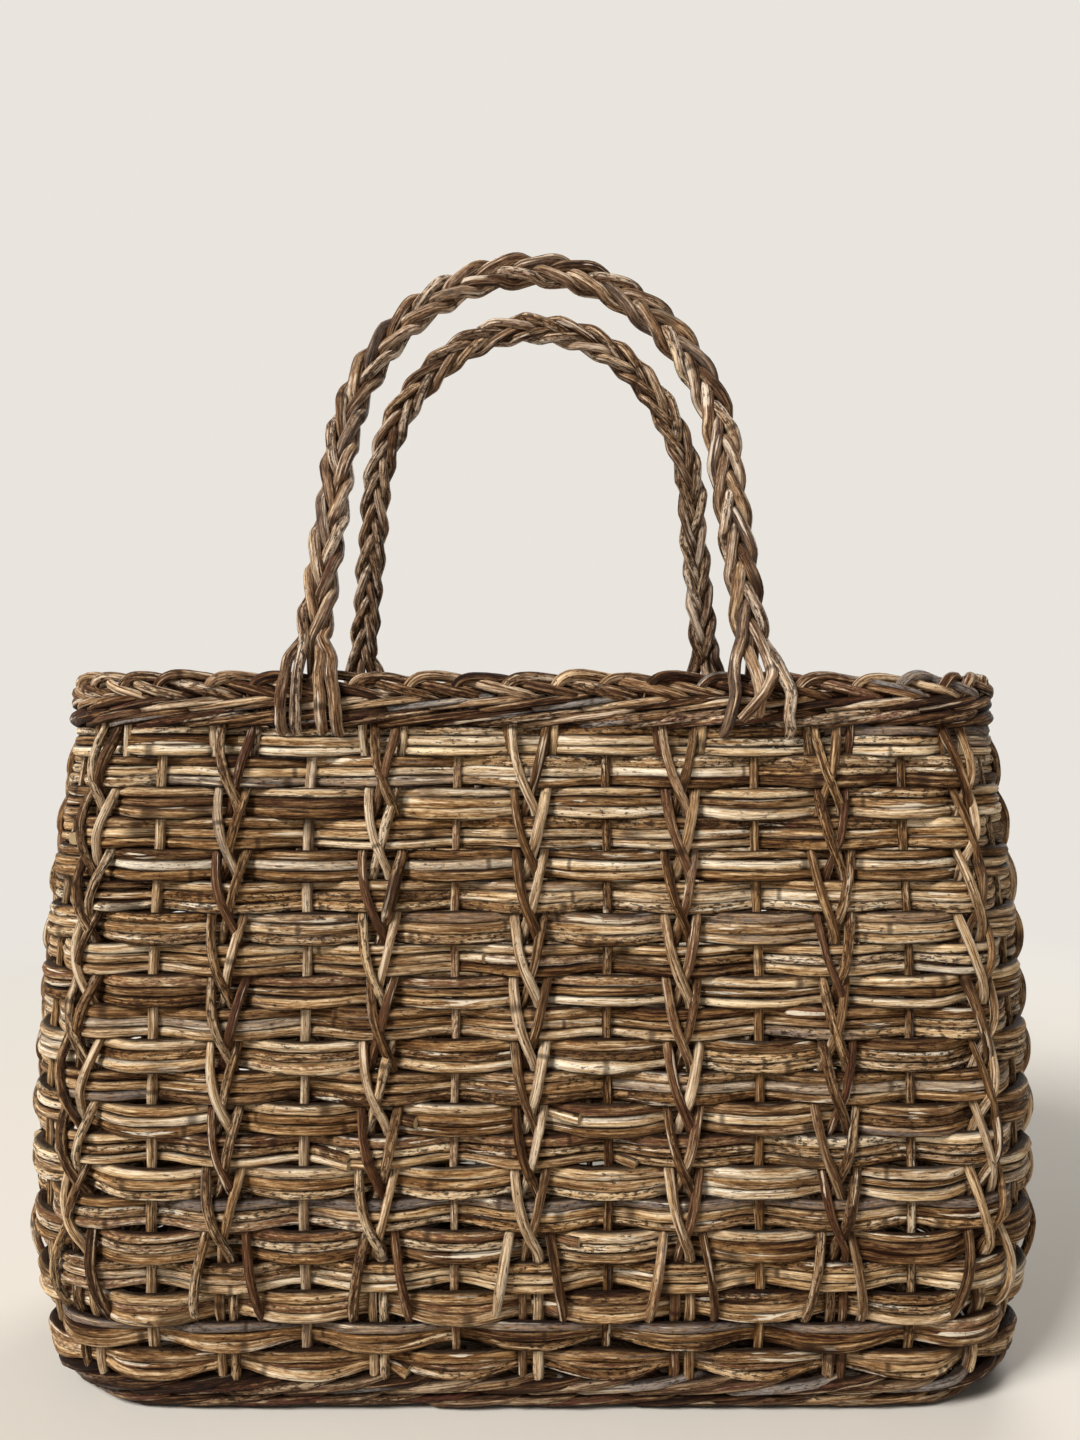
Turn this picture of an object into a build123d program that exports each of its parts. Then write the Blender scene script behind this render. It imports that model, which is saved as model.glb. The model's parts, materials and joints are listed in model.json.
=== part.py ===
from build123d import *

# Hand-woven vine basket: an oblong bag-shaped basket with rounded corners and a low belly.
# Upright stakes run down the front, under the base and up the back. Flat rows of vine weave
# in front of one stake and behind the next, pairs of needle-like vines cross every second
# stake on the outside, twined strands bind the rim and the foot, and two plaited handles
# are hooked under the rim. The origin is on the ground under the middle, the front faces -Y.

import os
from math import atan2, cos, hypot, pi, radians, sin, sqrt

os.makedirs("parts", exist_ok=True)

# Wall, measured over the middle of its thickness at the widest height
wall_width = 311.0
wall_depth = 125.0
corner_radius = 42.0
belly_height = 62.0
foot_inset = 7.0
rim_inset = 12.0

# Vines and the room left between neighbouring pieces
stake_diameter = 2.8
weaver_thickness = 2.8
fit = 0.25
bend_margin = 1.1

# Weave
upright_count = 36
row_count = 21
row_pitch = 9.05
base_weaver_count = 6
ground_gap = 0.3
wall_spans = 3

# Needle pairs over every second stake
needle_width = 3.0
needle_thickness = 2.2
needle_rows = 2.3
needle_spread = 5.6
leg_row = 3
leg_spread = 10.5

# Foot and rim
foot_border_height = 6.0
foot_border_thickness = 4.5
twine_height = 4.4
rim_twine_count = 2
border_height = 5.6
border_width = 8.0
corner_steps = 3

# Handles
handle_upright = 3
handle_draw = 6.0
handle_leg = 52.0
handle_rise = 72.0
handle_lean = 10.5
hinge_rise = 9.0
hinge_gap = 0.8
strand_count = 5
strand_side = 2.4
plait_length = 60.0
plait_room = 0.3
root_spread = 14.0
tail_rise = 1.2
root_length = 2.6

# Outline of the wall in plan
straight_x = wall_width / 2 - corner_radius
straight_y = wall_depth / 2 - corner_radius
quarter_turn = corner_radius * pi / 2
quarter = straight_x + quarter_turn + straight_y
upright_pitch = 4 * quarter / upright_count
row_height = row_pitch - fit
corner_dip = corner_radius * (1 - cos(pi / 4 / corner_steps))


def woven_reach(half_stake, half_band, spacing, turn):
    """Distance from a stake's middle to the middle of a band that bends round it."""
    clear = half_stake + fit
    slope = atan2(2 * bend_margin * (half_band + clear), spacing)
    return half_band + clear / cos(slope + turn)


# Heights from the ground up
base_reach = woven_reach(stake_diameter / 2, weaver_thickness / 2, upright_pitch, 0.0)
base_level = ground_gap + base_reach + weaver_thickness / 2
foot_twine_bottom = foot_border_height + fit
rows_bottom = foot_twine_bottom + twine_height + fit
rows_top = rows_bottom + row_count * row_pitch
rim_twine_bottom = rows_top + strand_side + 2 * fit
border_bottom = rim_twine_bottom + rim_twine_count * (twine_height + fit)
rim_top = border_bottom + border_height
hinge_height = rim_top + hinge_rise
span_height = (rows_top - base_level) / wall_spans
profile_heights = [base_level + span_height * step for step in range(wall_spans + 1)]


def belly_inset(height):
    """How far the wall stands inside its widest outline at a height."""
    if height < belly_height:
        return foot_inset * ((belly_height - height) / (belly_height - base_level)) ** 2
    return rim_inset * ((height - belly_height) / (rows_top - belly_height)) ** 2


def inset(height):
    """The same in straight lengths between the profile heights, upright above and below them."""
    height = min(max(height, profile_heights[0]), profile_heights[-1])
    for low, high in zip(profile_heights, profile_heights[1:]):
        if height <= high:
            share = (height - low) / (high - low)
            return belly_inset(low) * (1 - share) + belly_inset(high) * share


def upright(index):
    """Plan point on the widest outline and its outward direction, in stakes from the front middle."""
    along = (index % upright_count) * upright_pitch
    right = 1 if along <= 2 * quarter else -1
    along = min(along, 4 * quarter - along)
    back = 1 if along > quarter else -1
    along = min(along, 2 * quarter - along)
    angle = min(max(along - straight_x, 0.0) / corner_radius, pi / 2)
    x = min(along, straight_x) + corner_radius * sin(angle)
    y = straight_y + corner_radius * cos(angle) - max(along - straight_x - quarter_turn, 0.0)
    return Vector(right * x, back * y, 0), Vector(right * sin(angle), back * cos(angle), 0)


def wall_point(index, height, offset=0.0):
    """Point at a stake, or between two, offset outwards from the middle of the wall."""
    plan, outward = upright(index)
    return plan + outward * (offset - inset(height)) + Vector(0, 0, height)


def wall_reach(index, bottom, height, outside):
    """How far a band of a given height swings out past a stake, or in behind it."""
    middle = bottom + height / 2
    lean = abs(inset(bottom + height) - inset(bottom)) / 2
    spacing = (wall_point(index + 1, middle) - wall_point(index - 1, middle)).length / 2
    turn = radians(upright(index - 1)[1].get_angle(upright(index + 1)[1])) / 4
    half_stake = stake_diameter / 2 + lean
    return woven_reach(half_stake, weaver_thickness / 2, spacing, turn if outside else 0.0)


def woven_ring(bottom, height, first_outside):
    """One weaver round the basket, in front of every second stake and behind the others."""
    middle = bottom + height / 2
    with BuildPart() as ring:
        for face, mode in ((weaver_thickness / 2, Mode.ADD), (-weaver_thickness / 2, Mode.SUBTRACT)):
            points = []
            for index in range(upright_count):
                outside = index % 2 == first_outside
                reach = wall_reach(index, bottom, height, outside)
                point = wall_point(index, middle, (reach if outside else -reach) + face)
                points.append((point.X, point.Y))
            with BuildSketch(Plane.XY.offset(bottom)):
                with BuildLine():
                    Polyline(*points, close=True)
                make_face()
            extrude(amount=height, mode=mode)
    return ring.part


def section_plane(origin, along, facing):
    """Plane across a vine, turned so that its X axis faces one way as nearly as it can."""
    across = facing - along * (facing.dot(along) / along.dot(along))
    return Plane(origin=origin, x_dir=across, z_dir=along)


def vine(points, side, facing, turned=45):
    """A vine of square section through the points, a flat side or, unturned, an edge facing one way."""
    planes = []
    for index, point in enumerate(points):
        along = points[min(index + 1, len(points) - 1)] - points[max(index - 1, 0)]
        planes.append(section_plane(point, along, facing))
    with BuildPart() as length:
        with BuildSketch(*planes):
            RegularPolygon(side / sqrt(2), 4, rotation=turned)
        loft(ruled=True)
    return length.part


def needles(starts, ends):
    """Straight vines of three-cornered section, flat side to the wall, between places on the wall."""
    planes = []
    lengths = []
    for start, end in zip(starts, ends):
        along = wall_point(*end) - wall_point(*start)
        outward = upright(start[0])[1] + upright(end[0])[1]
        planes.append(section_plane(wall_point(*start), along, outward))
        lengths.append(along.length)
    with BuildPart() as group:
        with BuildSketch(*planes):
            with BuildLine():
                half = needle_width / 2
                Polyline((0, -half), (needle_thickness, 0), (0, half), close=True)
            make_face()
        extrude(amount=min(lengths))
    return group.part


# Stakes that run down the front, under the base and up the back
front_last = upright_count // 6
stake_top = border_bottom - fit
with BuildPart() as cross_stakes:
    for index in range(-front_last, front_last + 1):
        down = [wall_point(index, height) for height in [stake_top] + profile_heights[::-1]]
        up = [Vector(point.X, -point.Y, point.Z) for point in down[::-1]]
        add(vine(down + up, stake_diameter / sqrt(2), Vector(1, 0, 0), turned=0))
cross_stakes.part.label = "cross_stakes"
export_step(cross_stakes.part, "parts/cross_stakes.step")

# Stakes of the two ends, cut off at the foot
end_uprights = range(front_last + 1, upright_count // 2 - front_last)
with BuildPart() as end_stakes:
    for index in end_uprights:
        right = [wall_point(index, height) for height in profile_heights + [stake_top]]
        left = [Vector(-point.X, point.Y, point.Z) for point in right]
        for points in (right, left):
            add(vine(points, stake_diameter / sqrt(2), Vector(0, 1, 0), turned=0))
end_stakes.part.label = "end_stakes"
export_step(end_stakes.part, "parts/end_stakes.step")

# Flat weavers of the base, over and under the stakes from end to end
foot_reach = base_reach + weaver_thickness / 2 + fit
inner_inset = inset(base_level) + foot_reach
inner_half_depth = wall_depth / 2 - inner_inset
inner_radius = corner_radius - inner_inset
base_pitch = 2 * inner_half_depth / base_weaver_count
base_crossings = [wall_point(index, base_level).X for index in range(front_last + 1)]
base_crossings.append(base_crossings[-1] + upright_pitch)
with BuildPart() as base_weavers:
    for run in range(base_weaver_count):
        near = -inner_half_depth + run * base_pitch
        into_corner = max(abs(near), abs(near + base_pitch)) - straight_y
        into_corner = min(max(into_corner, 0.0), inner_radius)
        half_length = straight_x + sqrt(inner_radius**2 - into_corner**2)
        line = []
        for index, crossing in enumerate(base_crossings):
            past = max(crossing - half_length, 0.0) / upright_pitch
            rise = base_reach * (-1) ** (index + run) * (1 - 2 * past)
            line.append((min(crossing, half_length), rise))
            if past:
                break
        line = [(-x, z) for x, z in line[:0:-1]] + line
        upper = [(x, base_level + z + weaver_thickness / 2) for x, z in line]
        lower = [(x, base_level + z - weaver_thickness / 2) for x, z in line]
        with BuildSketch(Plane.XZ.offset(-near)):
            with BuildLine():
                Polyline(*upper, *lower[::-1], close=True)
            make_face()
        extrude(amount=-(base_pitch - fit))
base_weavers.part.label = "base_weavers"
export_step(base_weavers.part, "parts/base_weavers.step")


def plain_ring(bottom, height, outer, inner):
    """A ring that follows the wall in plan between two offsets, each corner in a few straight steps."""
    with BuildPart() as ring:
        for offset, mode in ((outer, Mode.ADD), (inner, Mode.SUBTRACT)):
            points = []
            for corner in range(4):
                for step in range(corner_steps + 1):
                    angle = (corner + step / corner_steps) * pi / 2
                    x = straight_x if corner in (0, 3) else -straight_x
                    y = straight_y if corner in (0, 1) else -straight_y
                    radius = corner_radius + offset
                    points.append((x + radius * cos(angle), y + radius * sin(angle)))
            with BuildSketch(Plane.XY.offset(bottom)):
                with BuildLine():
                    Polyline(*points, close=True)
                make_face()
            extrude(amount=height, mode=mode)
    return ring.part


# Border of the foot, outside the bends of the stakes, which the basket stands on
foot_inner = stake_diameter / 2 + fit + corner_dip - inset(0)
with BuildPart() as foot_border:
    add(plain_ring(0.0, foot_border_height, foot_inner + foot_border_thickness, foot_inner))
foot_border.part.label = "foot_border"
export_step(foot_border.part, "parts/foot_border.step")

# Twined strands that bind the foot and the rim
twines = {"foot_twine": foot_twine_bottom}
for course in range(rim_twine_count):
    twines[f"rim_twine_{course + 1}"] = rim_twine_bottom + course * (twine_height + fit)
for course, (name, bottom) in enumerate(twines.items()):
    with BuildPart() as twine:
        add(woven_ring(bottom, twine_height, course % 2))
    twine.part.label = name
    export_step(twine.part, f"parts/{name}.step")

# Rows of the side, counted from the foot; the first and every second one cover the plain stakes
for row in range(row_count):
    with BuildPart() as side_row:
        add(woven_ring(rows_bottom + row * row_pitch, row_height, (row + 1) % 2))
    side_row.part.label = f"side_row_{row + 1:02d}"
    export_step(side_row.part, f"parts/{side_row.part.label}.step")


def row_face(index, row):
    """How far the outer face of a row stands out from the middle of the wall at a stake."""
    bottom = rows_bottom + row * row_pitch
    lean = abs(inset(bottom + row_height) - inset(bottom)) / 2
    return wall_reach(index, bottom, row_height, True) + weaver_thickness / 2 + lean + fit


# Needle pairs, a column of downward points over every second stake with spread legs at the foot
sides = {
    "front": range(-front_last, front_last + 1, 2),
    "right": range(front_last + 2, upright_count // 2 - front_last, 2),
    "back": range(upright_count // 2 - front_last, upright_count // 2 + front_last + 1, 2),
    "left": range(upright_count // 2 + front_last + 2, upright_count - front_last, 2),
}
for name, indices in sides.items():
    starts, ends, leg_starts, leg_ends = [], [], [], []
    for index in indices:
        for hand in (-1, 1):
            outer = index + hand * needle_spread / upright_pitch
            inner = index + hand * (needle_width / 2 + fit) / upright_pitch
            leg_outer = index + hand * leg_spread / upright_pitch
            for row in range(leg_row + 2, row_count, 2):
                face = row_face(index, row)
                starts.append((outer, rows_bottom + (row + 2) * row_pitch - fit, face))
                ends.append((inner, rows_bottom + (row + 2 - needle_rows) * row_pitch, face))
            face = row_face(index, leg_row)
            leg_starts.append((outer, rows_bottom + (leg_row + 2) * row_pitch - fit, face))
            leg_ends.append((leg_outer, rows_bottom + (leg_row - 1) * row_pitch + fit, face))
    with BuildPart() as needle_pairs:
        add(needles(starts, ends))
        add(needles(leg_starts, leg_ends))
    needle_pairs.part.label = f"needle_pairs_{name}"
    export_step(needle_pairs.part, f"parts/{needle_pairs.part.label}.step")

# Rolled border on top of the rim
with BuildPart() as rim_border:
    outer = border_width / 2 - rim_inset
    add(plain_ring(border_bottom, border_height, outer, outer - border_width))
rim_border.part.label = "rim_border"
export_step(rim_border.part, "parts/rim_border.step")

# Plaited handles: the arch leans in over the basket and its strands end in tails hooked under the rim
root = wall_point(handle_upright, hinge_height)
arch_half = root.X - handle_draw
lean_sin = sin(radians(handle_lean))
lean_cos = cos(radians(handle_lean))
arch_steps = 400
arch_turns = [pi * step / arch_steps for step in range(arch_steps + 1)]
arch_plan = [(-root.X, 0.0), (-root.X, root_length)]
for turn in arch_turns:
    arch_plan.append((-arch_half * cos(turn), handle_leg + handle_rise * sin(turn)))
arch_plan += [(root.X, root_length), (root.X, 0.0)]
arch_lengths = [0.0]
for near, far in zip(arch_plan, arch_plan[1:]):
    arch_lengths.append(arch_lengths[-1] + hypot(far[0] - near[0], far[1] - near[1]))
arch_length = arch_lengths[-1]


def arch_frame(along):
    """Point and direction of the handle's middle line in its own plane, at a length from the left root."""
    if along > arch_length / 2:
        (u, v), (du, dv) = arch_frame(arch_length - along)
        return (-u, v), (du, -dv)
    step = 0
    while along > arch_lengths[step + 1]:
        step += 1
    (u, v), (far_u, far_v) = arch_plan[step : step + 2]
    length = arch_lengths[step + 1] - arch_lengths[step]
    du, dv = (far_u - u) / length, (far_v - v) / length
    past = along - arch_lengths[step]
    return (u + du * past, v + dv * past), (du, dv)


def handle_point(along, across, through, face):
    """Point of a handle: across the plait in the handle's plane and through it towards the outside."""
    (u, v), (du, dv) = arch_frame(along)
    u, v = u - dv * across, v + du * across
    y = face * (-root.Y - lean_sin * v + lean_cos * through)
    return Vector(u, y, hinge_height + lean_cos * v + lean_sin * through)


# Places of the strands at a root, on both sides of the stake, and the laps of the plait
beside_stake = (stake_diameter + strand_side) / 2 + fit
strand_slots = []
for slot in range(strand_count):
    past_stake = slot - strand_count // 2
    if past_stake > 0:
        strand_slots.append(beside_stake + (past_stake - 1) * (strand_side + fit))
    else:
        strand_slots.append(-beside_stake + past_stake * (strand_side + fit))
plait_depth = 2 * (strand_side + plait_room)
plait_width = 4 * (strand_side + plait_room)
plait_run = arch_length - 2 * root_spread
lap_length = strand_count * plait_run / round(strand_count * plait_run / plait_length)
edge_turn = radians(40)
middle_turn = radians(72)
first_turn = pi / 2 / strand_count
half_lap = [(edge_turn, 1), (middle_turn, 1), (pi - middle_turn, -1), (pi - edge_turn, -1)]
whole_lap = half_lap + [(turn + pi, side) for turn, side in half_lap]


def plait_turn(strand, along):
    """Where a strand is on its lap from edge to edge, as an angle counted from the arch's top."""
    return first_turn + 2 * pi * ((along - arch_length / 2) / lap_length + strand / strand_count)


def plait_across(strand, along):
    """Place of a strand across the plait, seen from the outside."""
    return plait_width / 2 / cos(edge_turn) * cos(plait_turn(strand, along))


def plait_through(strand, along):
    """Place of a strand through the plait: outer layer up to the middle, inner layer beyond it."""
    turn = plait_turn(strand, along) % (2 * pi)
    bends = [(whole_lap[-1][0] - 2 * pi, -1)] + whole_lap + [(whole_lap[0][0] + 2 * pi, 1)]
    for (near, near_side), (far, far_side) in zip(bends, bends[1:]):
        if near <= turn <= far:
            share = (turn - near) / (far - near)
            return plait_depth / 2 * (near_side + (far_side - near_side) * share)


def root_slot(strand, along):
    """The strand's place in the flat row at a root, in the order in which the plait reaches it."""
    order = sorted(range(strand_count), key=lambda other: plait_across(other, along))
    return strand_slots[order.index(strand)]


def strand_line(strand):
    """Length, place across and place through of each bend of one strand, from root to root."""
    far_spread = arch_length - root_spread
    bends = [root_spread, far_spread]
    half_laps = int(arch_length / lap_length / 2) + 2
    for lap in range(-half_laps, half_laps + 1):
        for turn, _ in whole_lap:
            laps = lap + (turn - first_turn) / (2 * pi) - strand / strand_count
            along = arch_length / 2 + lap_length * laps
            if root_spread < along < far_spread:
                bends.append(along)
    line = []
    for along in sorted(bends):
        line.append((along, plait_across(strand, along), plait_through(strand, along)))
    left = root_slot(strand, root_spread)
    right = root_slot(strand, far_spread)
    roots = [(0.0, left, 0.0), (root_length, left, 0.0)]
    return roots + line + [(arch_length - root_length, right, 0.0), (arch_length, right, 0.0)]


for name, face in (("front", -1), ("back", 1)):
    for strand in range(strand_count):
        points = [handle_point(*place, face) for place in strand_line(strand)]
        with BuildPart() as handle_strand:
            add(vine(points, strand_side, Vector(0, face * lean_cos, lean_sin)))
        handle_strand.part.label = f"{name}_handle_strand_{strand + 1}"
        export_step(handle_strand.part, f"parts/{handle_strand.part.label}.step")

# Tails of the handle strands: over the border, down the rim and in under its twined strands
tail_out = row_face(handle_upright, row_count - 1) + strand_side / 2
tuck_height = rows_top + fit + strand_side / 2
tail_route = [
    (0.0, hinge_height - hinge_gap),
    (0.0, hinge_height - hinge_gap - root_length),
    (tail_out, rim_top + tail_rise),
    (tail_out, tuck_height),
    (-tail_out, tuck_height),
]
for name, face in (("front", -1), ("back", 1)):
    for hand, leg in ((-1, "left"), (1, "right")):
        with BuildPart() as handle_tails:
            for slot in strand_slots:
                points = [
                    Vector(hand * (root.X + slot), face * (-root.Y + outward), height)
                    for outward, height in tail_route
                ]
                add(vine(points, strand_side, Vector(1, 0, 0)))
        handle_tails.part.label = f"{name}_handle_tails_{leg}"
        export_step(handle_tails.part, f"parts/{handle_tails.part.label}.step")
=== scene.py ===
import json
import math

import bpy
import numpy as np
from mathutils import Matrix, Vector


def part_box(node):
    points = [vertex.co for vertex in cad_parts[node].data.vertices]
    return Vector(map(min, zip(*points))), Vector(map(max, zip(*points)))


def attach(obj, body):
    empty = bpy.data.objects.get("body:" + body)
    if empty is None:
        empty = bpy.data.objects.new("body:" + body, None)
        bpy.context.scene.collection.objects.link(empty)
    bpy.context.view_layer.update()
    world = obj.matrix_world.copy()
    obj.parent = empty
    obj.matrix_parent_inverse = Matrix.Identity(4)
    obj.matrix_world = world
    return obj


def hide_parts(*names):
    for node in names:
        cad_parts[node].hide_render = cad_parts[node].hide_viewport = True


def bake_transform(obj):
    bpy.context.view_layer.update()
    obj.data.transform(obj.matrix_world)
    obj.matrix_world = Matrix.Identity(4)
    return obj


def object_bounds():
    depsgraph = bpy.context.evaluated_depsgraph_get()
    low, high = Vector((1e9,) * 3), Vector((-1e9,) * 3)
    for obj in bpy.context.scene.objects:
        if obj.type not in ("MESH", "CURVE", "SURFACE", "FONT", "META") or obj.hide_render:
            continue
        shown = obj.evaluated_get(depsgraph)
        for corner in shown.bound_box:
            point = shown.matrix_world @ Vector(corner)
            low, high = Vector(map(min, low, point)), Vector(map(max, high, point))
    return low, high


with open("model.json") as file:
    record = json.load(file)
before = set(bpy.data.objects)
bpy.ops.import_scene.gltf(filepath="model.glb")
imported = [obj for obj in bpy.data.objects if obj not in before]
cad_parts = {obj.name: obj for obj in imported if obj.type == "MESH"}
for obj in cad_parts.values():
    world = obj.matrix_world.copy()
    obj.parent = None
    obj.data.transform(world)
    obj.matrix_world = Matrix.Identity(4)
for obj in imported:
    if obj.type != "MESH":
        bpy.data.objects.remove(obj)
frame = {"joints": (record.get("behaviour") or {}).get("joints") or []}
cad_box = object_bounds()

# Plain stakes: straight vines with their bark on, the uprights that the rows weave round.
# Each one at the front runs down the wall, bends at the foot, passes under the base and climbs
# the back wall. The ones at the two ends of the basket stop at the foot.
stake_count = 36
wall_width, wall_depth, corner_radius = 0.311, 0.125, 0.042
belly_height, foot_inset, rim_inset = 0.062, 0.007, 0.012
base_level = 0.0048
rows_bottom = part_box("side_row_01")[0].z
rows_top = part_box("side_row_21")[1].z
rim_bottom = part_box("rim_twine_1")[0].z
row_count = 21
rim_gap = 0.0006
row_pitch = (rim_bottom - rim_gap - rows_bottom) / row_count
border_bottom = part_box("rim_border")[0].z
straight_x = wall_width / 2 - corner_radius
straight_y = wall_depth / 2 - corner_radius
quarter_turn = corner_radius * math.pi / 2
quarter = straight_x + quarter_turn + straight_y
stake_pitch = 4 * quarter / stake_count
front_last = stake_count // 6
stake_radius = 0.0013
draw = np.random.default_rng(11)


def wall_inset(height):
    """How far the wall stands inside its widest outline: it swells to the belly and draws in to the rim."""
    height = np.clip(height, base_level, rows_top)
    below = np.clip((belly_height - height) / (belly_height - base_level), 0, None)
    above = np.clip((height - belly_height) / (rows_top - belly_height), 0, None)
    return foot_inset * below**2 + rim_inset * above**2


def wall(stake, height, out):
    """Points of the wall, by stakes counted from the front middle, height and distance outwards."""
    stake, height, out = np.broadcast_arrays(*(np.asarray(value, float) for value in (stake, height, out)))
    along = np.mod(stake, stake_count) * stake_pitch
    right = np.where(along <= 2 * quarter, 1.0, -1.0)
    along = np.minimum(along, 4 * quarter - along)
    back = np.where(along > quarter, 1.0, -1.0)
    along = np.minimum(along, 2 * quarter - along)
    angle = np.clip((along - straight_x) / corner_radius, 0, math.pi / 2)
    radius = corner_radius + out - wall_inset(height)
    x = np.minimum(along, straight_x) + radius * np.sin(angle)
    y = straight_y + radius * np.cos(angle) - np.maximum(along - straight_x - quarter_turn, 0)
    return np.stack([right * x, back * y, height], axis=-1)


class Flow:
    """One socket of a node tree, so that sums and products of sockets can be written in Python."""

    def __init__(self, tree, socket=None):
        self.tree = tree
        self.socket = socket

    def node(self, kind, sockets=None, out=0, stops=None, **settings):
        """Adds any node: its settings first, then values or links for its sockets, and gives an output."""
        node = self.tree.nodes.new(kind)
        for name, value in settings.items():
            setattr(node, name, value)
        if stops:
            ramp = node.color_ramp.elements
            while len(ramp) < len(stops):
                ramp.new(1.0)
            for element, (place, colour) in zip(ramp, stops):
                element.position = place
                element.color = colour
        for key, value in (sockets or {}).items():
            if isinstance(value, Flow):
                self.tree.links.new(value.socket, node.inputs[key])
            else:
                node.inputs[key].default_value = value
        return Flow(self.tree, node.outputs[out] if node.outputs else None)

    def beside(self, name):
        """Another output of the node that this socket belongs to."""
        return Flow(self.tree, self.socket.node.outputs[name])

    def maths(self, operation, first, second):
        return self.node("ShaderNodeMath", {0: first, 1: second}, operation=operation)

    def __add__(self, other):
        return self.maths("ADD", self, other)

    def __sub__(self, other):
        return self.maths("SUBTRACT", self, other)

    def __rsub__(self, other):
        return self.maths("SUBTRACT", other, self)

    def __mul__(self, other):
        return self.maths("MULTIPLY", self, other)

    __radd__ = __add__
    __rmul__ = __mul__

    def above(self, low, high):
        """0 below low, 1 above high, and a smooth step between."""
        steps = {"Value": self, "From Min": low, "From Max": high}
        return self.node("ShaderNodeMapRange", steps, interpolation_type="SMOOTHSTEP")

    def background_rays(self):
        """1 for what the camera sees, straight or in a shiny or clear surface, and 0 for light."""
        path = self.node("ShaderNodeLightPath")
        seen = self.maths("MAXIMUM", path.beside("Is Camera Ray"), path.beside("Is Glossy Ray"))
        return self.maths("MAXIMUM", seen, path.beside("Is Transmission Ray"))

    def from_knot(self, along, tone):
        """How far a place along a vine is from a knot: 0 at the knot, and different on every vine."""
        knots = {"W": along * 11 + tone * 191, "Scale": 1.0, "Detail": 0.0}
        level = self.node("ShaderNodeTexNoise", knots, noise_dimensions="1D")
        return self.maths("ABSOLUTE", level - 0.62, 0.0)


def paint(red, green, blue):
    """A colour as a paint chart gives it, from 0 to 255, made linear."""
    return tuple(((value / 255 + 0.055) / 1.055) ** 2.4 for value in (red, green, blue)) + (1.0,)


# Geometry of a vine: a line of points becomes a smooth stem with uneven girth and blunt cut ends.
vine_tree = bpy.data.node_groups.new("vine", "GeometryNodeTree")
vine_sockets = {}
for name, kind in (
    ("Lines", "NodeSocketGeometry"),
    ("Sides", "NodeSocketInt"),
    ("Step", "NodeSocketFloat"),
    ("Swelling", "NodeSocketFloat"),
    ("Gnarl", "NodeSocketFloat"),
    ("Level", "NodeSocketBool"),
    ("Bark", "NodeSocketMaterial"),
):
    made = vine_tree.interface.new_socket(name, in_out="INPUT", socket_type=kind)
    vine_sockets[name] = made.identifier
vine_tree.interface.new_socket("Vines", in_out="OUTPUT", socket_type="NodeSocketGeometry")
vine_flow = Flow(vine_tree)
given = vine_flow.node("NodeGroupInput")
line = vine_flow.node("GeometryNodeMeshToCurve", {"Mesh": given.beside("Lines")})
line = vine_flow.node("GeometryNodeCurveSplineType", {"Curve": line}, spline_type="CATMULL_ROM")
even_steps = {"Curve": line, "Length": given.beside("Step")}
line = vine_flow.node("GeometryNodeResampleCurve", even_steps, mode="LENGTH")
level_lines = {"Curve": line, "Selection": given.beside("Level")}
line = vine_flow.node("GeometryNodeSetCurveNormal", level_lines, mode="Z_UP")
run = vine_flow.node("GeometryNodeSplineParameter", out="Length")
line = vine_flow.node("GeometryNodeStoreNamedAttribute", {"Geometry": line, "Name": "along", "Value": run})
circle = {"Resolution": given.beside("Sides"), "Radius": 1.0}
ring = vine_flow.node("GeometryNodeCurvePrimitiveCircle", circle)
ring = vine_flow.node(
    "GeometryNodeStoreNamedAttribute",
    {"Geometry": ring, "Name": "around", "Value": vine_flow.node("GeometryNodeInputPosition")},
    data_type="FLOAT_VECTOR",
)
girth = vine_flow.node("GeometryNodeInputNamedAttribute", {"Name": "girth"})
tone = vine_flow.node("GeometryNodeInputNamedAttribute", {"Name": "tone"})
swells = {"W": run * 38 + tone * 60 + 7.0, "Scale": 1.0}
swell = vine_flow.node("ShaderNodeTexNoise", swells, noise_dimensions="1D")
knot = 1 - vine_flow.from_knot(run, tone).above(0.0, 0.045)
stem = vine_flow.node(
    "GeometryNodeCurveToMesh",
    {
        "Curve": line,
        "Profile Curve": ring,
        "Scale": girth * (1 + given.beside("Swelling") * (swell - 0.5) + 0.16 * knot),
        "Fill Caps": True,
    },
)
round_place = vine_flow.node("GeometryNodeInputNamedAttribute", {"Name": "around"}, data_type="FLOAT_VECTOR")
round_place = vine_flow.node("ShaderNodeSeparateXYZ", {0: round_place})
length_place = vine_flow.node("GeometryNodeInputNamedAttribute", {"Name": "along"})
ridge_place = {"X": round_place * 1.5, "Y": round_place.beside("Y") * 1.5, "Z": length_place * 190}
ridges = vine_flow.node(
    "ShaderNodeTexNoise",
    {
        "Vector": vine_flow.node("ShaderNodeCombineXYZ", ridge_place),
        "W": tone * 40,
        "Scale": 1.0,
        "Detail": 3.0,
    },
    noise_dimensions="4D",
)
push = vine_flow.node(
    "ShaderNodeVectorMath",
    {0: vine_flow.node("GeometryNodeInputNormal"), "Scale": (ridges - 0.5) * girth * given.beside("Gnarl")},
    operation="SCALE",
)
stem = vine_flow.node("GeometryNodeSetPosition", {"Geometry": stem, "Offset": push})
corners = vine_flow.node("GeometryNodeCornersOfFace", out="Total")
stem = vine_flow.node(
    "GeometryNodeStoreNamedAttribute",
    {"Geometry": stem, "Name": "cut", "Value": corners.above(4.0, 5.0)},
    domain="FACE",
)
stem = vine_flow.node("GeometryNodeSetShadeSmooth", {"Geometry": stem, "Shade Smooth": True})
stem = vine_flow.node("GeometryNodeRealizeInstances", {"Geometry": stem})
stem = vine_flow.node("GeometryNodeSetMaterial", {"Geometry": stem, "Material": given.beside("Bark")})
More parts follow.
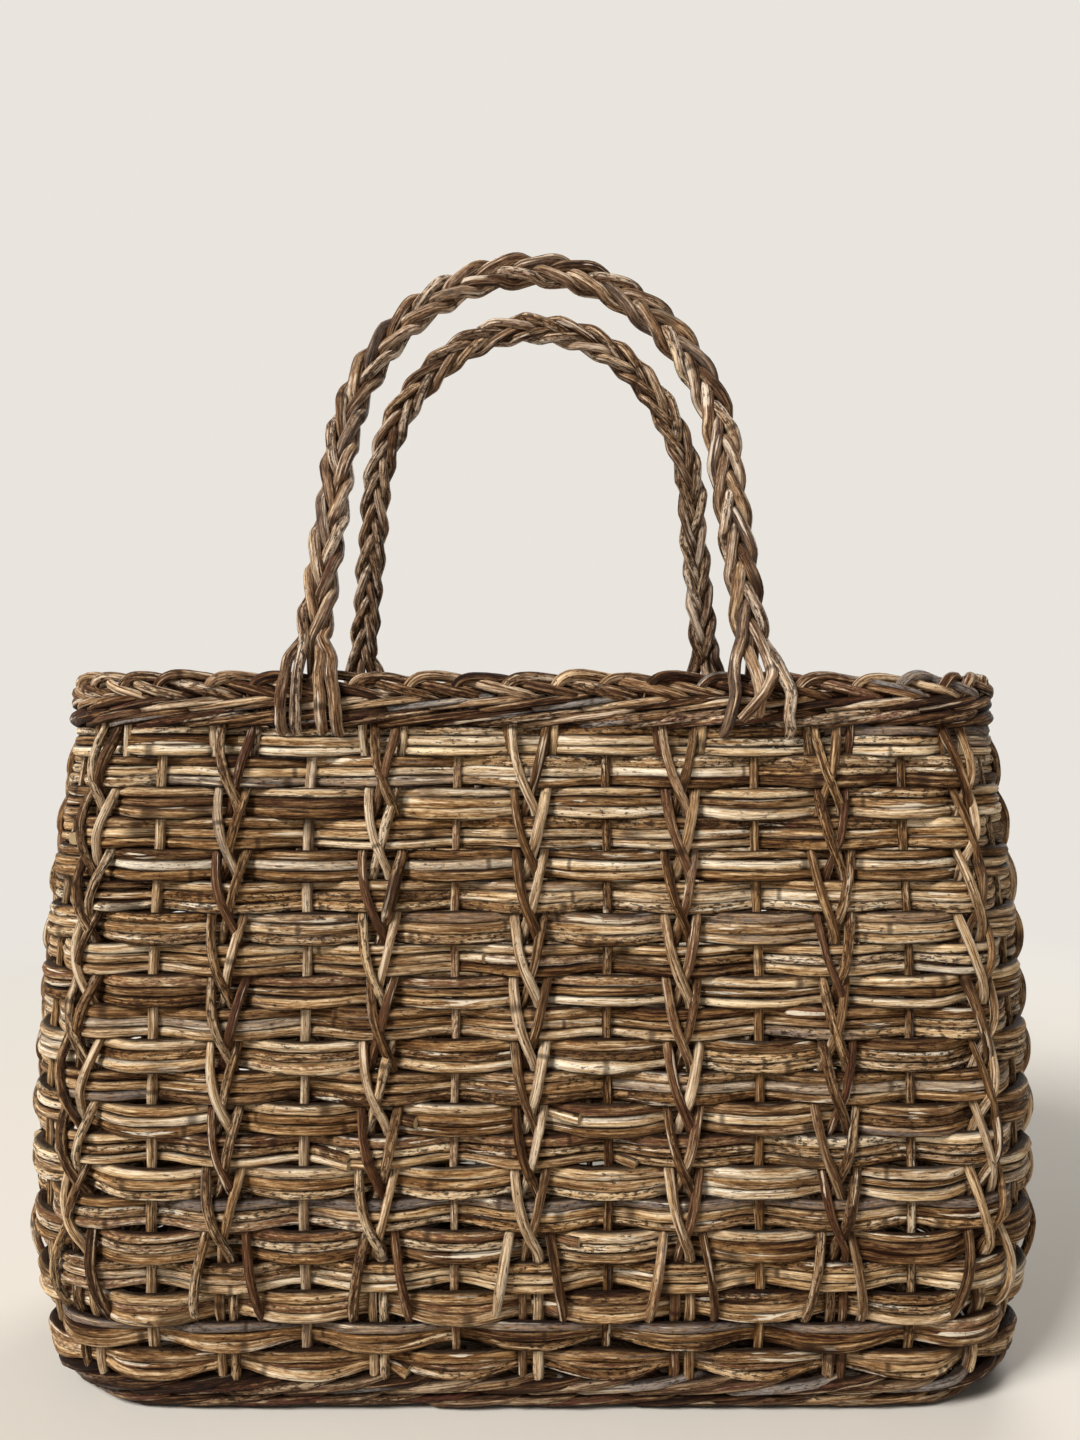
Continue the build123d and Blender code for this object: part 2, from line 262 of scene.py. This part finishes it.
vine_flow.node("NodeGroupOutput", {"Vines": stem})


def lay_vines(
    name, lines, radius, material, level=False, sides=10, step=0.0016, swelling=0.4, gnarl=0.42, uneven=0.08
):
    """Makes one piece out of vines that follow lines of points, each with its own girth and tone."""
    edges, girths, tones, first = [], [], [], 0
    for points in lines:
        edges += [(first + spot, first + spot + 1) for spot in range(len(points) - 1)]
        girths += [radius * (1 + uneven * draw.normal())] * len(points)
        tones += [draw.random()] * len(points)
        first += len(points)
    mesh = bpy.data.meshes.new(name + "_lines")
    mesh.from_pydata(np.concatenate(lines).tolist(), edges, [])
    mesh.attributes.new("girth", "FLOAT", "POINT").data.foreach_set("value", girths)
    mesh.attributes.new("tone", "FLOAT", "POINT").data.foreach_set("value", tones)
    source = bpy.data.objects.new(name + "_lines", mesh)
    bpy.context.scene.collection.objects.link(source)
    growth = source.modifiers.new("vine", "NODES")
    growth.node_group = vine_tree
    settings = {"Sides": sides, "Step": step, "Swelling": swelling, "Gnarl": gnarl}
    for socket, value in {**settings, "Level": level, "Bark": material}.items():
        growth[vine_sockets[socket]] = value
    depsgraph = bpy.context.evaluated_depsgraph_get()
    grown = bpy.data.meshes.new_from_object(source.evaluated_get(depsgraph))
    bpy.data.objects.remove(source)
    grown.name = name
    piece = bpy.data.objects.new(name, grown)
    bpy.context.scene.collection.objects.link(piece)
    return piece


def bark(name, dark, middle, straw, pale, wine_share, grey_share, seam_shade_share=0.0):
    """Dried vine bark: streaks from dark to pale, stained and peeled patches, specks, knots, pale ends and
    painted shade in the seams between vines.
    """
    material = bpy.data.materials.new(name)
    material.use_nodes = True
    material.node_tree.nodes.clear()
    flow = Flow(material.node_tree)
    around = flow.node("ShaderNodeAttribute", out="Vector", attribute_name="around")
    place = flow.node("ShaderNodeSeparateXYZ", {0: around})
    along = flow.node("ShaderNodeAttribute", out="Fac", attribute_name="along")
    tone = flow.node("ShaderNodeAttribute", out="Fac", attribute_name="tone")
    cut = flow.node("ShaderNodeAttribute", out="Fac", attribute_name="cut")

    def grain(across, length, shift, detail=3.0, roughness=0.6):
        """Noise that is fine across a vine and drawn out along it, from another place on every vine."""
        spot = {"X": place * across, "Y": place.beside("Y") * across, "Z": along * length}
        noise = {
            "Vector": flow.node("ShaderNodeCombineXYZ", spot),
            "W": tone * 83 + shift,
            "Scale": 1.0,
            "Detail": detail,
            "Roughness": roughness,
        }
        return flow.node("ShaderNodeTexNoise", noise, noise_dimensions="4D")

    def mixed(share, first, second, blend="MIX"):
        sockets = {"Factor": share, 6: first, 7: second}
        return flow.node("ShaderNodeMix", sockets, out=2, data_type="RGBA", blend_type=blend)

    wine_stain, weathered, golden_tint = paint(98, 58, 46), paint(156, 152, 148), (1.0, 0.88, 0.68, 1.0)
    mark_brown, seam_shadow, cut_wood = paint(40, 24, 14), paint(26, 11, 4), paint(204, 180, 140)
    streak = grain(2.6, 70.0, 0.0, 5.0, 0.75)
    fleck = grain(3.4, 330.0, 53.0, 4.0, 0.75)
    fibre = grain(5.0, 45.0, 41.0, 3.0, 0.65)
    patch = grain(0.8, 24.0, 5.0, 3.0)
    kind = flow.maths("FRACT", tone * 13.7, 0.0)
    level = 1.75 * streak + 0.75 * fleck + 1.0 * patch + 0.42 * tone - 1.46
    stops = [(0.14, dark), (0.42, middle), (0.62, straw), (0.86, pale)]
    colour = flow.node("ShaderNodeValToRGB", {0: level}, stops=stops)
    golden = grain(0.5, 10.0, 59.0, 2.0).above(0.44, 0.60)
    colour = mixed(golden * 0.75, colour, golden_tint, "MULTIPLY")
    mottle = grain(3.4, 620.0, 43.0, 2.0)
    wine = flow.maths("MAXIMUM", grain(0.6, 12.0, 11.0, 2.0).above(0.60, 0.68), kind.above(0.91, 0.92))
    colour = mixed(wine * mottle.above(0.38, 0.62) * wine_share, colour, wine_stain)
    grey = flow.maths("MAXIMUM", grain(0.5, 13.0, 17.0, 2.0).above(0.63, 0.70), 1 - kind.above(0.06, 0.07))
    colour = mixed(grey * mottle.above(0.28, 0.60) * grey_share, colour, weathered)
    peel = grain(0.9, 40.0, 37.0, 3.0).above(0.61, 0.635)
    colour = mixed(peel * 0.75, colour, pale)
    speckled = kind.above(0.56, 0.58) * (1 - kind.above(0.80, 0.82))
    cluster = flow.maths("MAXIMUM", grain(0.8, 60.0, 47.0, 1.0).above(0.36, 0.56), speckled)
    speck = (grain(2.4, 440.0, 23.0, 3.0, 0.75) + 0.06 * speckled).above(0.575, 0.625) * cluster
    blot = grain(1.0, 95.0, 29.0, 3.0).above(0.655, 0.69)
    groove = (1 - fibre.above(0.34, 0.47)) * 0.75
    colour = mixed(groove, colour, dark)
    ring = 1 - flow.from_knot(along, tone).above(0.002, 0.012)
    mark = flow.maths("MAXIMUM", flow.maths("MAXIMUM", speck * 0.85, blot * 0.8), ring * 0.7)
    colour = mixed(mark, colour, mark_brown)
    # Painted shade: the top and bottom of each vine's ring are darkened to the seam shadow colour, where it
    # lies against the vines beside it.
    seam_shade = flow.maths("ABSOLUTE", place.beside("Y"), 0.0).above(0.48, 0.93) * seam_shade_share
    colour = mixed(seam_shade, colour, seam_shadow)
    colour = mixed(cut, colour, cut_wood)
    relief = streak + fibre * 0.8 + fleck * 0.8 + peel * 0.25 - mark * 0.5
    bump = flow.node("ShaderNodeBump", {"Strength": 0.8, "Distance": 0.0007, "Height": relief})
    surface = {
        "Base Color": colour,
        "Roughness": 0.44 + 0.25 * streak + 0.15 * mark,
        "Normal": bump,
        "Specular IOR Level": 0.1,
    }
    shader = flow.node("ShaderNodeBsdfPrincipled", surface)
    flow.node("ShaderNodeOutputMaterial", {"Surface": shader})
    return material


def waver(places, size, length):
    """A gentle random sway along a vine, of about a size and a wave length."""
    total = np.zeros_like(places)
    for share in (1.0, 0.6, 0.37):
        total += share * np.sin(places / (length * share) * 2 * math.pi + draw.uniform(0, 2 * math.pi))
    return total * size / 1.3


stake_bark = bark(
    "stake_bark",
    paint(42, 20, 7),
    paint(118, 86, 54),
    paint(186, 156, 119),
    paint(238, 220, 192),
    wine_share=0.8,
    grey_share=0.45,
)
stake_heights = np.linspace(base_level, border_bottom, 16)
under_base = np.array([(1, share, 1) for share in (0.7, 0.35, 0, -0.35, -0.7, -1)])
stake_lines = []
for stake in range(1, stake_count, 2):
    lean = draw.normal(0, 0.02)
    sway = waver(stake_heights, 0.012, 0.09)
    climb = wall(stake + lean + sway, stake_heights, waver(stake_heights, 0.0002, 0.06))
    plan = min(stake, stake_count - stake)
    if plan <= front_last:
        climb = np.concatenate([climb[::-1], climb[0] * under_base])
    stake_lines.append(climb)
plain_stakes = lay_vines("plain_stakes", stake_lines, stake_radius, stake_bark)
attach(plain_stakes, "basket")
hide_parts("cross_stakes", "end_stakes")

# Base: flat runs of vines from end to end, over and under the stakes that pass under the basket.
# Five vines lie side by side in each run, and the runs take turns going over and under.
weaver_bark = bark(
    "weaver_bark",
    paint(46, 22, 7),
    paint(136, 102, 66),
    paint(206, 177, 139),
    paint(250, 236, 212),
    wine_share=0.75,
    grey_share=0.45,
    seam_shade_share=0.95,
)
base_low, base_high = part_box("base_weavers")
base_runs = 6
base_vines = 5
base_radius = 0.0015
base_pitch = (base_high.y - base_low.y) / base_runs
base_corner = base_high.y - straight_y
base_play = 0.0001
base_swing = stake_radius + base_radius + base_play
base_lines = []
for run in range(base_runs):
    for spot in range(base_vines):
        y = base_low.y + base_pitch * (run + (spot + 0.5) / base_vines)
        into_corner = min(max(abs(y) - straight_y, 0), base_corner)
        reach = straight_x + math.sqrt(max(base_corner**2 - into_corner**2, 0)) - base_radius
        x = np.linspace(-reach, reach, 61)
        swing = base_swing * np.cos(math.pi * (x / stake_pitch + run))
        y = y + waver(x, 0.0002, 0.05)
        z = base_level + swing + waver(x, 0.0002, 0.04)
        base_lines.append(np.stack([x, y, z], -1))
base_weave = lay_vines("base_weave", base_lines, base_radius, weaver_bark, level=True, sides=8, step=0.003)
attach(base_weave, "basket")
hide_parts("base_weavers")

# Foot: two courses of three strands waled round the stakes. Each strand passes in front of two
# uprights and behind the third, rising to the right, and the lowest strands carry the basket.
wale_groups = 54
wale_strands = 3
group_pitch = stake_count / wale_groups
corner_stake = (straight_x + quarter_turn / 2) / stake_pitch
corner_tuck, corner_span = 2.4, 1.3
stroke_turns = [0, 0.35, 0.9, 1.6, 2.15, 2.5, 2.85, 3]
stroke_front = [0.45, 0.75, 1, 0.95, 0.2, -1, -0.6, 0.45]
rim_bark = bark(
    "rim_bark",
    paint(15, 5, 2),
    paint(79, 51, 31),
    paint(157, 125, 93),
    paint(236, 215, 188),
    wine_share=1.0,
    grey_share=0.95,
    seam_shade_share=0.85,
)


def wale(height, rise, reach, sink, inset=0.0):
    """Rods of one waled course: three strands, joined behind the uprights and inset more at the corners."""
    lines = []
    for strand in range(wale_strands):
        stroke = np.arange(0, wale_groups + 0.01, 0.25) + wale_groups / 2 + strand - 0.5
        turn = np.mod(stroke - strand, wale_strands)
        front = np.interp(turn, stroke_turns, stroke_front)
        climb = np.interp(turn, [0, 2.2, 2.75, 3], [-0.42, 0.5, -0.5, -0.42])
        out = np.where(front > 0, front * reach, front * sink)
        level = height + rise * climb + waver(stroke, 0.00025, 9.0)
        stake = stroke * group_pitch
        from_middle = np.abs(np.mod(stake + stake_count / 4, stake_count / 2) - stake_count / 4)
        at_corner = np.exp(-(((from_middle - corner_stake) / corner_span) ** 2))
        out = out - inset * (1 + corner_tuck * at_corner)
        stake = stake + waver(stroke, 0.05, 11.0)
        rods = wall(stake, level, out + waver(stroke, 0.0003, 7.0))
        near = 0
        while near < wale_groups:
            far = min(near + wale_strands * int(draw.integers(1, 4)), wale_groups)
            lines.append(rods[near * 4 : far * 4 + 1])
            near = far
    return lines


foot_radius = 0.0016
foot_low = 0.0037
foot_course = 0.0049
foot_tuck, upper_tuck = 0.0016, 0.0004
foot_rise, upper_rise = 0.0030, 0.0046
foot_reach, foot_sink = 0.0034, 0.0030
# Painted shade: the foot's bark is a darker copy of the other barks, standing in for the shade low down by
# the floor.
foot_bark = bark(
    "foot_bark",
    paint(13, 4, 2),
    paint(55, 33, 19),
    paint(114, 86, 61),
    paint(188, 164, 133),
    wine_share=0.9,
    grey_share=0.7,
    seam_shade_share=0.9,
)
foot_lines = wale(foot_low, foot_rise, foot_reach, foot_sink, foot_tuck)
foot_lines += wale(foot_low + foot_course, upper_rise, foot_reach, foot_sink, upper_tuck)
foot_wale = lay_vines("foot_wale", foot_lines, foot_radius, foot_bark, level=True, uneven=0.06, swelling=0.25)
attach(foot_wale, "basket")
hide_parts("foot_border", "foot_twine")

# Side rows: three vines side by side go round the basket, in front of one upright and behind the next.
# The lowest row and every second one cover the plain stakes, the others cover the needle columns.
row_vines = 3
row_radius = 0.00176
row_swing = 0.0024
row_gap = row_pitch / row_vines
row_steps = 8
row_pinch, low_pinch, low_rows = 0.06, 0.5, 4
loose_share = 0.10
for row in range(row_count):
    join = 2 * int(draw.integers(8, 11)) + row % 2
    stake = np.linspace(join, join + stake_count, stake_count * row_steps + 1)
    behind = (1 + np.cos(math.pi * (stake + row))) / 2
    off_the_back = np.cos(2 * math.pi * stake / stake_count) > -0.2
    pinch = row_pinch + low_pinch * max(0, 1 - row / low_rows) * off_the_back
    row_sway = waver(stake, 0.00026, 5.2)
    row_lines = []
    for spot in range(row_vines):
        out = row_swing * (1 - 2 * behind**1.4) + waver(stake, 0.00022, 3.1)
        height = (spot - 1) * row_gap * (1 - pinch * behind) + row_sway + waver(stake, 0.00013, 2.7)
        height = height + rows_bottom + (row + 0.5) * row_pitch
        ends = 2 * draw.choice(np.arange(2, stake_count // 2 - 1), 4, replace=False)
        ends = np.concatenate([[0], np.sort(ends), [stake_count]]) * row_steps
        for near, far in zip(ends, ends[1:]):
            piece = slice(near, far + 1)
            vine = wall(stake[piece], height[piece], out[piece])
            if draw.random() < loose_share and far < stake_count * row_steps:
                past = slice(far + 1, far + 1 + int(draw.integers(3, 6)))
                lift = np.linspace(0.3, 1, past.stop - past.start) * draw.uniform(0.0012, 0.0024)
                drop = np.linspace(0.2, 1, past.stop - past.start) * draw.uniform(-0.0022, 0.0008)
                vine = np.concatenate([vine, wall(stake[past], height[past] + drop, out[past] + lift)])
            row_lines.append(vine)
    name = f"side_row_{row + 1:02d}"
    side_row = lay_vines(
        "woven_" + name, row_lines, row_radius, weaver_bark, level=True, uneven=0.11, swelling=0.5
    )
    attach(side_row, "basket")
    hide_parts(name)

# Needle columns: four thin vines in two pairs take the place of every second stake. A pair comes out
# under one row, crosses over the row below it to a point and goes in behind the next, in turn with
# the other pair. One pair ends in two spread legs, and the other passes under the base to the back.
needle_radius = 0.0014
needle_spread = 0.0045
needle_out = 0.0054
needle_under = -0.0009
leg_pair, base_pair = 19, 17
last_rows = {leg_pair: 7, base_pair: 5}
# Places of an arm: rows above the one that it crosses, and shares of the spread and of the way out.
over_arm = [
    (1.5, -1.0, 0.16),
    (1.0, -0.93, 0.58),
    (0.45, -0.76, 0.92),
    (-0.1, -0.46, 1.0),
    (-0.6, -0.06, 0.9),
    (-1.2, 0.42, 0.5),
]
under_arm = [
    (1.5, 1.0, 0.16),
    (1.0, 0.83, 0.56),
    (0.45, 0.58, 0.9),
    (-0.1, 0.33, 0.96),
    (-0.55, 0.08, 0.62),
    (-1.1, -0.22, 0.16),
]
leg = [
    (4.4, 1.2, 0.3),
    (3.6, 1.5, 0.88),
    (3.0, 1.7, 1.0),
    (2.4, 1.9, 0.85),
    (1.85, 2.05, 0.45),
    (1.25, 2.15, -0.3),
]


def needle(column, side, first):
    """Line of one needle vine that crosses over its first row and every fourth one below it."""
    behind = needle_under / needle_out
    places = [(21.5, side * 1.2, behind), (21.1, side * 1.15, 0.0)]
    if first == base_pair:
        places = [(21.5, side * 1.5, behind), (20.8, side * 1.5, 0.12), (20.2, side * 1.5, 0.16)]
        places.append((19.0, side * 1.2, behind))
    for row in range(first, last_rows[first] - 1, -4):
        stretch = draw.uniform(0.9, 1.1)
        slide = draw.normal(0, 0.045)
        for rise, across, out in over_arm if side < 0 else under_arm:
            places.append((row + rise + slide, across * stretch, out))
        side = -side
        places.append((row - 2.0, side * 0.75, behind))
    if first == leg_pair:
        places[-1] = (5.0, side * 1.0, behind)
        places += [(row, side * across, out) for row, across, out in leg]
    else:
        low = side * draw.uniform(0.4, 0.55)
        places[-1] = (3.0, low, behind)
        places += [(2.0, low, 0.16), (1.0, low, behind), (0.0, low, 0.16), (-1.0, low, behind)]
    rows, across, out = np.array(places).T
    stake = column + across * needle_spread / stake_pitch
    line = wall(stake, rows_bottom + (rows + 0.5) * row_pitch, out * needle_out)
    if first == base_pair and abs(column) < front_last + 0.5:
        foot = line[-1] * [1, 1, 0] + [0, 0, base_level]
        line = np.concatenate([line, foot * under_base])
    return line


needle_bark = bark(
    "needle_bark",
    paint(38, 18, 7),
    paint(108, 78, 50),
    paint(176, 146, 111),
    paint(234, 214, 186),
    wine_share=0.5,
    grey_share=0.5,
)
needle_sides = {
    "front": range(-front_last, front_last + 1, 2),
    "right": range(front_last + 2, stake_count // 2 - front_last, 2),
    "back": range(stake_count // 2 - front_last, stake_count // 2 + front_last + 1, 2),
    "left": range(stake_count // 2 + front_last + 2, stake_count - front_last, 2),
}
for name, columns in needle_sides.items():
    needle_lines = [
        needle(column + draw.normal(0, 0.03), side, first)
        for column in columns
        for first in (leg_pair, base_pair)
        for side in (-1, 1)
    ]
    needles = lay_vines("needle_columns_" + name, needle_lines, needle_radius, needle_bark)
    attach(needles, "basket")
    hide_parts("needle_pairs_" + name)

# Rim: two waled courses above the last row, made like those of the foot but thinner,
# with every strand rising to the right.
rim_radius = 0.00142
rim_low, rim_course = 0.0018, 0.0045
rim_rise, rim_reach, rim_sink = 0.0046, 0.0036, 0.0026
for course in range(2):
    height = rim_bottom + rim_low + course * rim_course
    rim_lines = wale(height, rim_rise, rim_reach, rim_sink)
    rim_wale = lay_vines(
        f"rim_wale_{course + 1}", rim_lines, rim_radius, rim_bark, level=True, swelling=0.3, uneven=0.1
    )
    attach(rim_wale, "basket")
    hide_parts(f"rim_twine_{course + 1}")

# Border: every upright ends in a strand that hooks over the top of the rim, runs to the right,
# passes behind the next hook, comes to the front, slopes down over the one after and is tucked in.
# A thin core vine lies under the hooks, on the ends of the uprights.
hook_radius = 0.0017
# Route of a hook, in millimetres to the right, up and outwards.
hook_route = np.array(
    [
        (-1.8, -5.0, -0.6),
        (-1.5, -1.6, 0.8),
        (-0.9, 1.2, 2.2),
        (0.6, 3.4, 2.7),
        (3.2, 4.7, 2.1),
        (7.5, 5.0, 0.7),
        (12.0, 4.5, -0.9),
        (15.5, 3.8, -1.4),
        (19.0, 3.0, 0.2),
        (23.5, 2.0, 2.4),
        (29.0, 0.7, 3.5),
        (34.0, -0.6, 2.9),
        (38.0, -1.9, 0.9),
    ]
)
border_bark = bark(
    "border_bark",
    paint(16, 5, 2),
    paint(79, 51, 31),
    paint(155, 123, 92),
    paint(234, 212, 184),
    wine_share=1.0,
    grey_share=0.7,
)
border_lines = []
for hook in range(wale_groups):
    right, up, out = hook_route.T / 1000
    start = (hook + 0.5) * group_pitch + draw.normal(0, 0.04)
    up = np.where(up > 0, up * draw.uniform(0.92, 1.1), up)
    border_lines.append(wall(start + right / stake_pitch, border_bottom + up, out + draw.normal(0, 0.0002)))
core_stakes = np.linspace(0, stake_count, 109) + stake_count / 2
core_drop = 0.0002
border_lines.append(wall(core_stakes, border_bottom - core_drop + waver(core_stakes, 0.0002, 6.0), 0.0))
rim_border = lay_vines(
    "woven_border", border_lines, hook_radius, border_bark, step=0.0013, uneven=0.1, swelling=0.25
)
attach(rim_border, "basket")
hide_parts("rim_border")

# Handles: five vines in a flat plait bent into an arch that leans in over the basket.
# Below the plait the vines spread over the rim on both sides of a plain stake and are tucked
# in under the waled strands, and the arch stands on its roots at the hinges just above the rim.
handle_stake = 3
handle_bark = bark(
    "handle_bark",
    paint(18, 7, 3),
    paint(80, 55, 38),
    paint(155, 127, 101),
    paint(238, 220, 200),
    wine_share=0.85,
    grey_share=0.15,
)
strand_count = 5
strand_radius = 0.00175
plait_half = 0.0041
plait_layer = 0.0019
lap_length = 0.060
hinges = {joint["child"]: joint["pos_m"] for joint in frame["joints"]}
handle_draw, handle_leg, handle_rise = 0.006, 0.052, 0.072
handle_lean = math.radians(10.5)
root_x = handle_stake * stake_pitch
plait_start = 0.0015
arch_turns = np.linspace(0, math.pi, 121)
arch_u = -(root_x - handle_draw) * np.cos(arch_turns)
arch_v = handle_leg + handle_rise * np.sin(arch_turns)
arch_u = np.concatenate([[-root_x], arch_u, [root_x]])
arch_v = np.concatenate([[0.0], arch_v, [0.0]])
arch_along = np.concatenate([[0.0], np.cumsum(np.hypot(np.diff(arch_u), np.diff(arch_v)))])
arch_length = arch_along[-1]
laps = round((arch_length - 2 * plait_start) / lap_length * strand_count) / strand_count
# Routes of the tails, in millimetres: up from the hinge, outwards and to the right of the root.
tail_drops = [
    (-4.0, 2.4, 0.72),
    (-9.5, 6.2, 0.88),
    (-15.0, 7.0, 0.97),
    (-21.5, 6.7, 1.0),
    (-24.4, 5.0, 1.0),
    (-27.0, 0.8, 1.0),
]
inside_tail = [(-5.0, -2.8, 0.0), (-12.0, -4.6, 0.2), (-20.0, -4.4, 0.0)]
even_tails = []
for place in (-8.2, -3.6, 4.1, 8.4):
    even_tails.append([(drop, out, place * spread) for drop, out, spread in tail_drops])
even_tails.insert(2, inside_tail)
tangled_tails = [
    [
        (-4.5, 3.2, -5.8),
        (-9.5, 6.4, -6.6),
        (-15.0, 7.0, -6.4),
        (-21.0, 6.6, -7.0),
        (-25.0, 4.6, -8.4),
        (-27.4, 0.8, -9.6),
    ],
    [(-4.5, 2.6, -0.9), (-9.5, 6.0, 0.2), (-15.0, 6.8, 1.0), (-18.5, 6.2, 1.2), (-20.5, 4.0, 1.2)],
    inside_tail,
    [(-4.5, 3.0, 4.2), (-9.5, 7.2, 4.8), (-14.5, 9.4, 2.6), (-18.5, 9.6, -0.8), (-22.5, 7.6, -4.4)],
    [
        (-4.5, 3.4, 6.3),
        (-9.5, 6.6, 8.2),
        (-15.0, 7.2, 9.9),
        (-21.5, 6.8, 10.3),
        (-24.8, 4.8, 10.6),
        (-27.4, 0.8, 10.8),
    ],
]


def arch_point(along, across, through, face, hinge):
    """Points of a handle: along the arch, across the plait in its plane and through it to the outside."""
    u = np.interp(along, arch_along, arch_u)
    v = np.interp(along, arch_along, arch_v)
    nudge = 0.0005
    du = np.interp(along + nudge, arch_along, arch_u) - np.interp(along - nudge, arch_along, arch_u)
    dv = np.interp(along + nudge, arch_along, arch_v) - np.interp(along - nudge, arch_along, arch_v)
    length = np.hypot(du, dv)
    u = u - dv / length * across
    v = v + du / length * across
    y = face * (abs(hinge[1]) - math.sin(handle_lean) * v + math.cos(handle_lean) * through)
    z = hinge[2] + math.cos(handle_lean) * v + math.sin(handle_lean) * through
    return np.stack([u, y, z], -1)


def plait_wave(turn):
    """Way of a strand from edge to edge of the plait: straight across, and rounded where it turns back."""
    return 0.85 * (1 - 2 * np.arccos(np.cos(turn)) / math.pi) + 0.15 * np.cos(turn)


for name, face in (("front", -1), ("back", 1)):
    hinge = hinges[name + "_handle"]
    handle_lines = []
    run = np.linspace(plait_start, arch_length - plait_start, 150)
    angles = [-2 * math.pi * (strand + 0.25) / strand_count for strand in range(strand_count)]
    for strand, angle in enumerate(angles):
        turn = angle - 2 * math.pi * laps * (run - run[0]) / (run[-1] - run[0])
        across = plait_half * plait_wave(turn) + waver(run, 0.0002, 0.05)
        through = -plait_layer * np.clip(1.7 * np.sin(-2 * turn), -1, 1)
        tails = []
        for hand, end in ((-1, 0), (1, -1)):
            shares = [hand * plait_wave(turn[end] + other - angle) for other in angles]
            spot = sum(share < shares[strand] for share in shares)
            tail = tangled_tails[spot] if (face, hand) == (-1, 1) else even_tails[spot]
            drop, out, place = np.array(tail).T / 1000
            x = hand * root_x + place + draw.normal(0, 0.0003, len(drop))
            y = face * (abs(hinge[1]) + out + draw.normal(0, 0.0001))
            tails.append(np.stack([x, y, hinge[2] + drop], -1))
        plait = arch_point(run, across, through, face, hinge)
        handle_lines.append(np.concatenate([tails[0][::-1], plait, tails[1]]))
    handle = lay_vines(
        name + "_plait", handle_lines, strand_radius, handle_bark, gnarl=0.2, uneven=0.06, swelling=0.25
    )
    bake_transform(handle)
    strands = [f"{name}_handle_strand_{strand + 1}" for strand in range(strand_count)]
    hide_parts(*strands, f"{name}_handle_tails_left", f"{name}_handle_tails_right")

# Studio: a pale floor that fades into the colour of the backdrop, soft light from above and both sides,
# and a level camera in front of the basket.
floor_mesh = bpy.data.meshes.new("floor")
floor_mesh.from_pydata([(-6, -6, 0), (6, -6, 0), (6, 6, 0), (-6, 6, 0)], [], [(0, 1, 2, 3)])
floor = bpy.data.objects.new("floor", floor_mesh)
bpy.context.scene.collection.objects.link(floor)
floor_paint = bpy.data.materials.new("floor_paint")
floor_paint.use_nodes = True
floor_paint.node_tree.nodes.clear()
ground = Flow(floor_paint.node_tree)
floor_place = ground.node("ShaderNodeTexCoord", out="Object")
distance = ground.node("ShaderNodeVectorMath", {0: floor_place}, out="Value", operation="LENGTH")
matt = ground.node("ShaderNodeBsdfPrincipled", {"Base Color": paint(218, 212, 203), "Roughness": 0.8})
backdrop_paint = paint(233, 229, 222)
glow = ground.node("ShaderNodeEmission", {"Color": backdrop_paint, "Strength": 1.0})
faded = distance.above(0.35, 0.9) * ground.background_rays()
floor_look = ground.node("ShaderNodeMixShader", {0: faded, 1: matt, 2: glow})
ground.node("ShaderNodeOutputMaterial", {"Surface": floor_look})
floor_mesh.materials.append(floor_paint)

lamps = {
    "key": ((-1.6, -1.9, 2.2), 1.0, 140.0, (1.0, 0.98, 0.95)),
    "fill": ((2.0, -1.8, 0.8), 2.0, 5.0, (1.0, 0.95, 0.88)),
    "back": ((1.0, 2.2, 1.2), 1.6, 45.0, (1.0, 0.99, 0.97)),
}
for name, (place, size, power, colour) in lamps.items():
    light = bpy.data.lights.new(name, "AREA")
    light.size = size
    light.energy = power
    light.color = colour
    lamp = bpy.data.objects.new(name, light)
    lamp.location = place
    bpy.context.scene.collection.objects.link(lamp)
    lamp.rotation_mode = "QUATERNION"
    lamp.rotation_quaternion = (lamp.location - cad_box[0].lerp(cad_box[1], 0.5)).to_track_quat("Z", "Y")

world = bpy.data.worlds.new("studio")
bpy.context.scene.world = world
world.use_nodes = True
world.node_tree.nodes.clear()
sky = Flow(world.node_tree)
shine = sky.node("ShaderNodeBackground", {"Color": paint(236, 230, 220), "Strength": 0.12})
backdrop = sky.node("ShaderNodeBackground", {"Color": backdrop_paint, "Strength": 1.0})
sky_look = sky.node("ShaderNodeMixShader", {0: sky.background_rays(), 1: shine, 2: backdrop})
sky.node("ShaderNodeOutputWorld", {"Surface": sky_look})

view = bpy.data.cameras.new("view")
view.lens = 29.1
view.sensor_width = 36.0
camera = bpy.data.objects.new("view", view)
camera.location = (0.0024, -0.4025, 0.2050)
camera.rotation_euler = (math.pi / 2, 0, 0)
bpy.context.scene.collection.objects.link(camera)
bpy.context.scene.camera = camera
bpy.context.scene.view_settings.view_transform = "Standard"
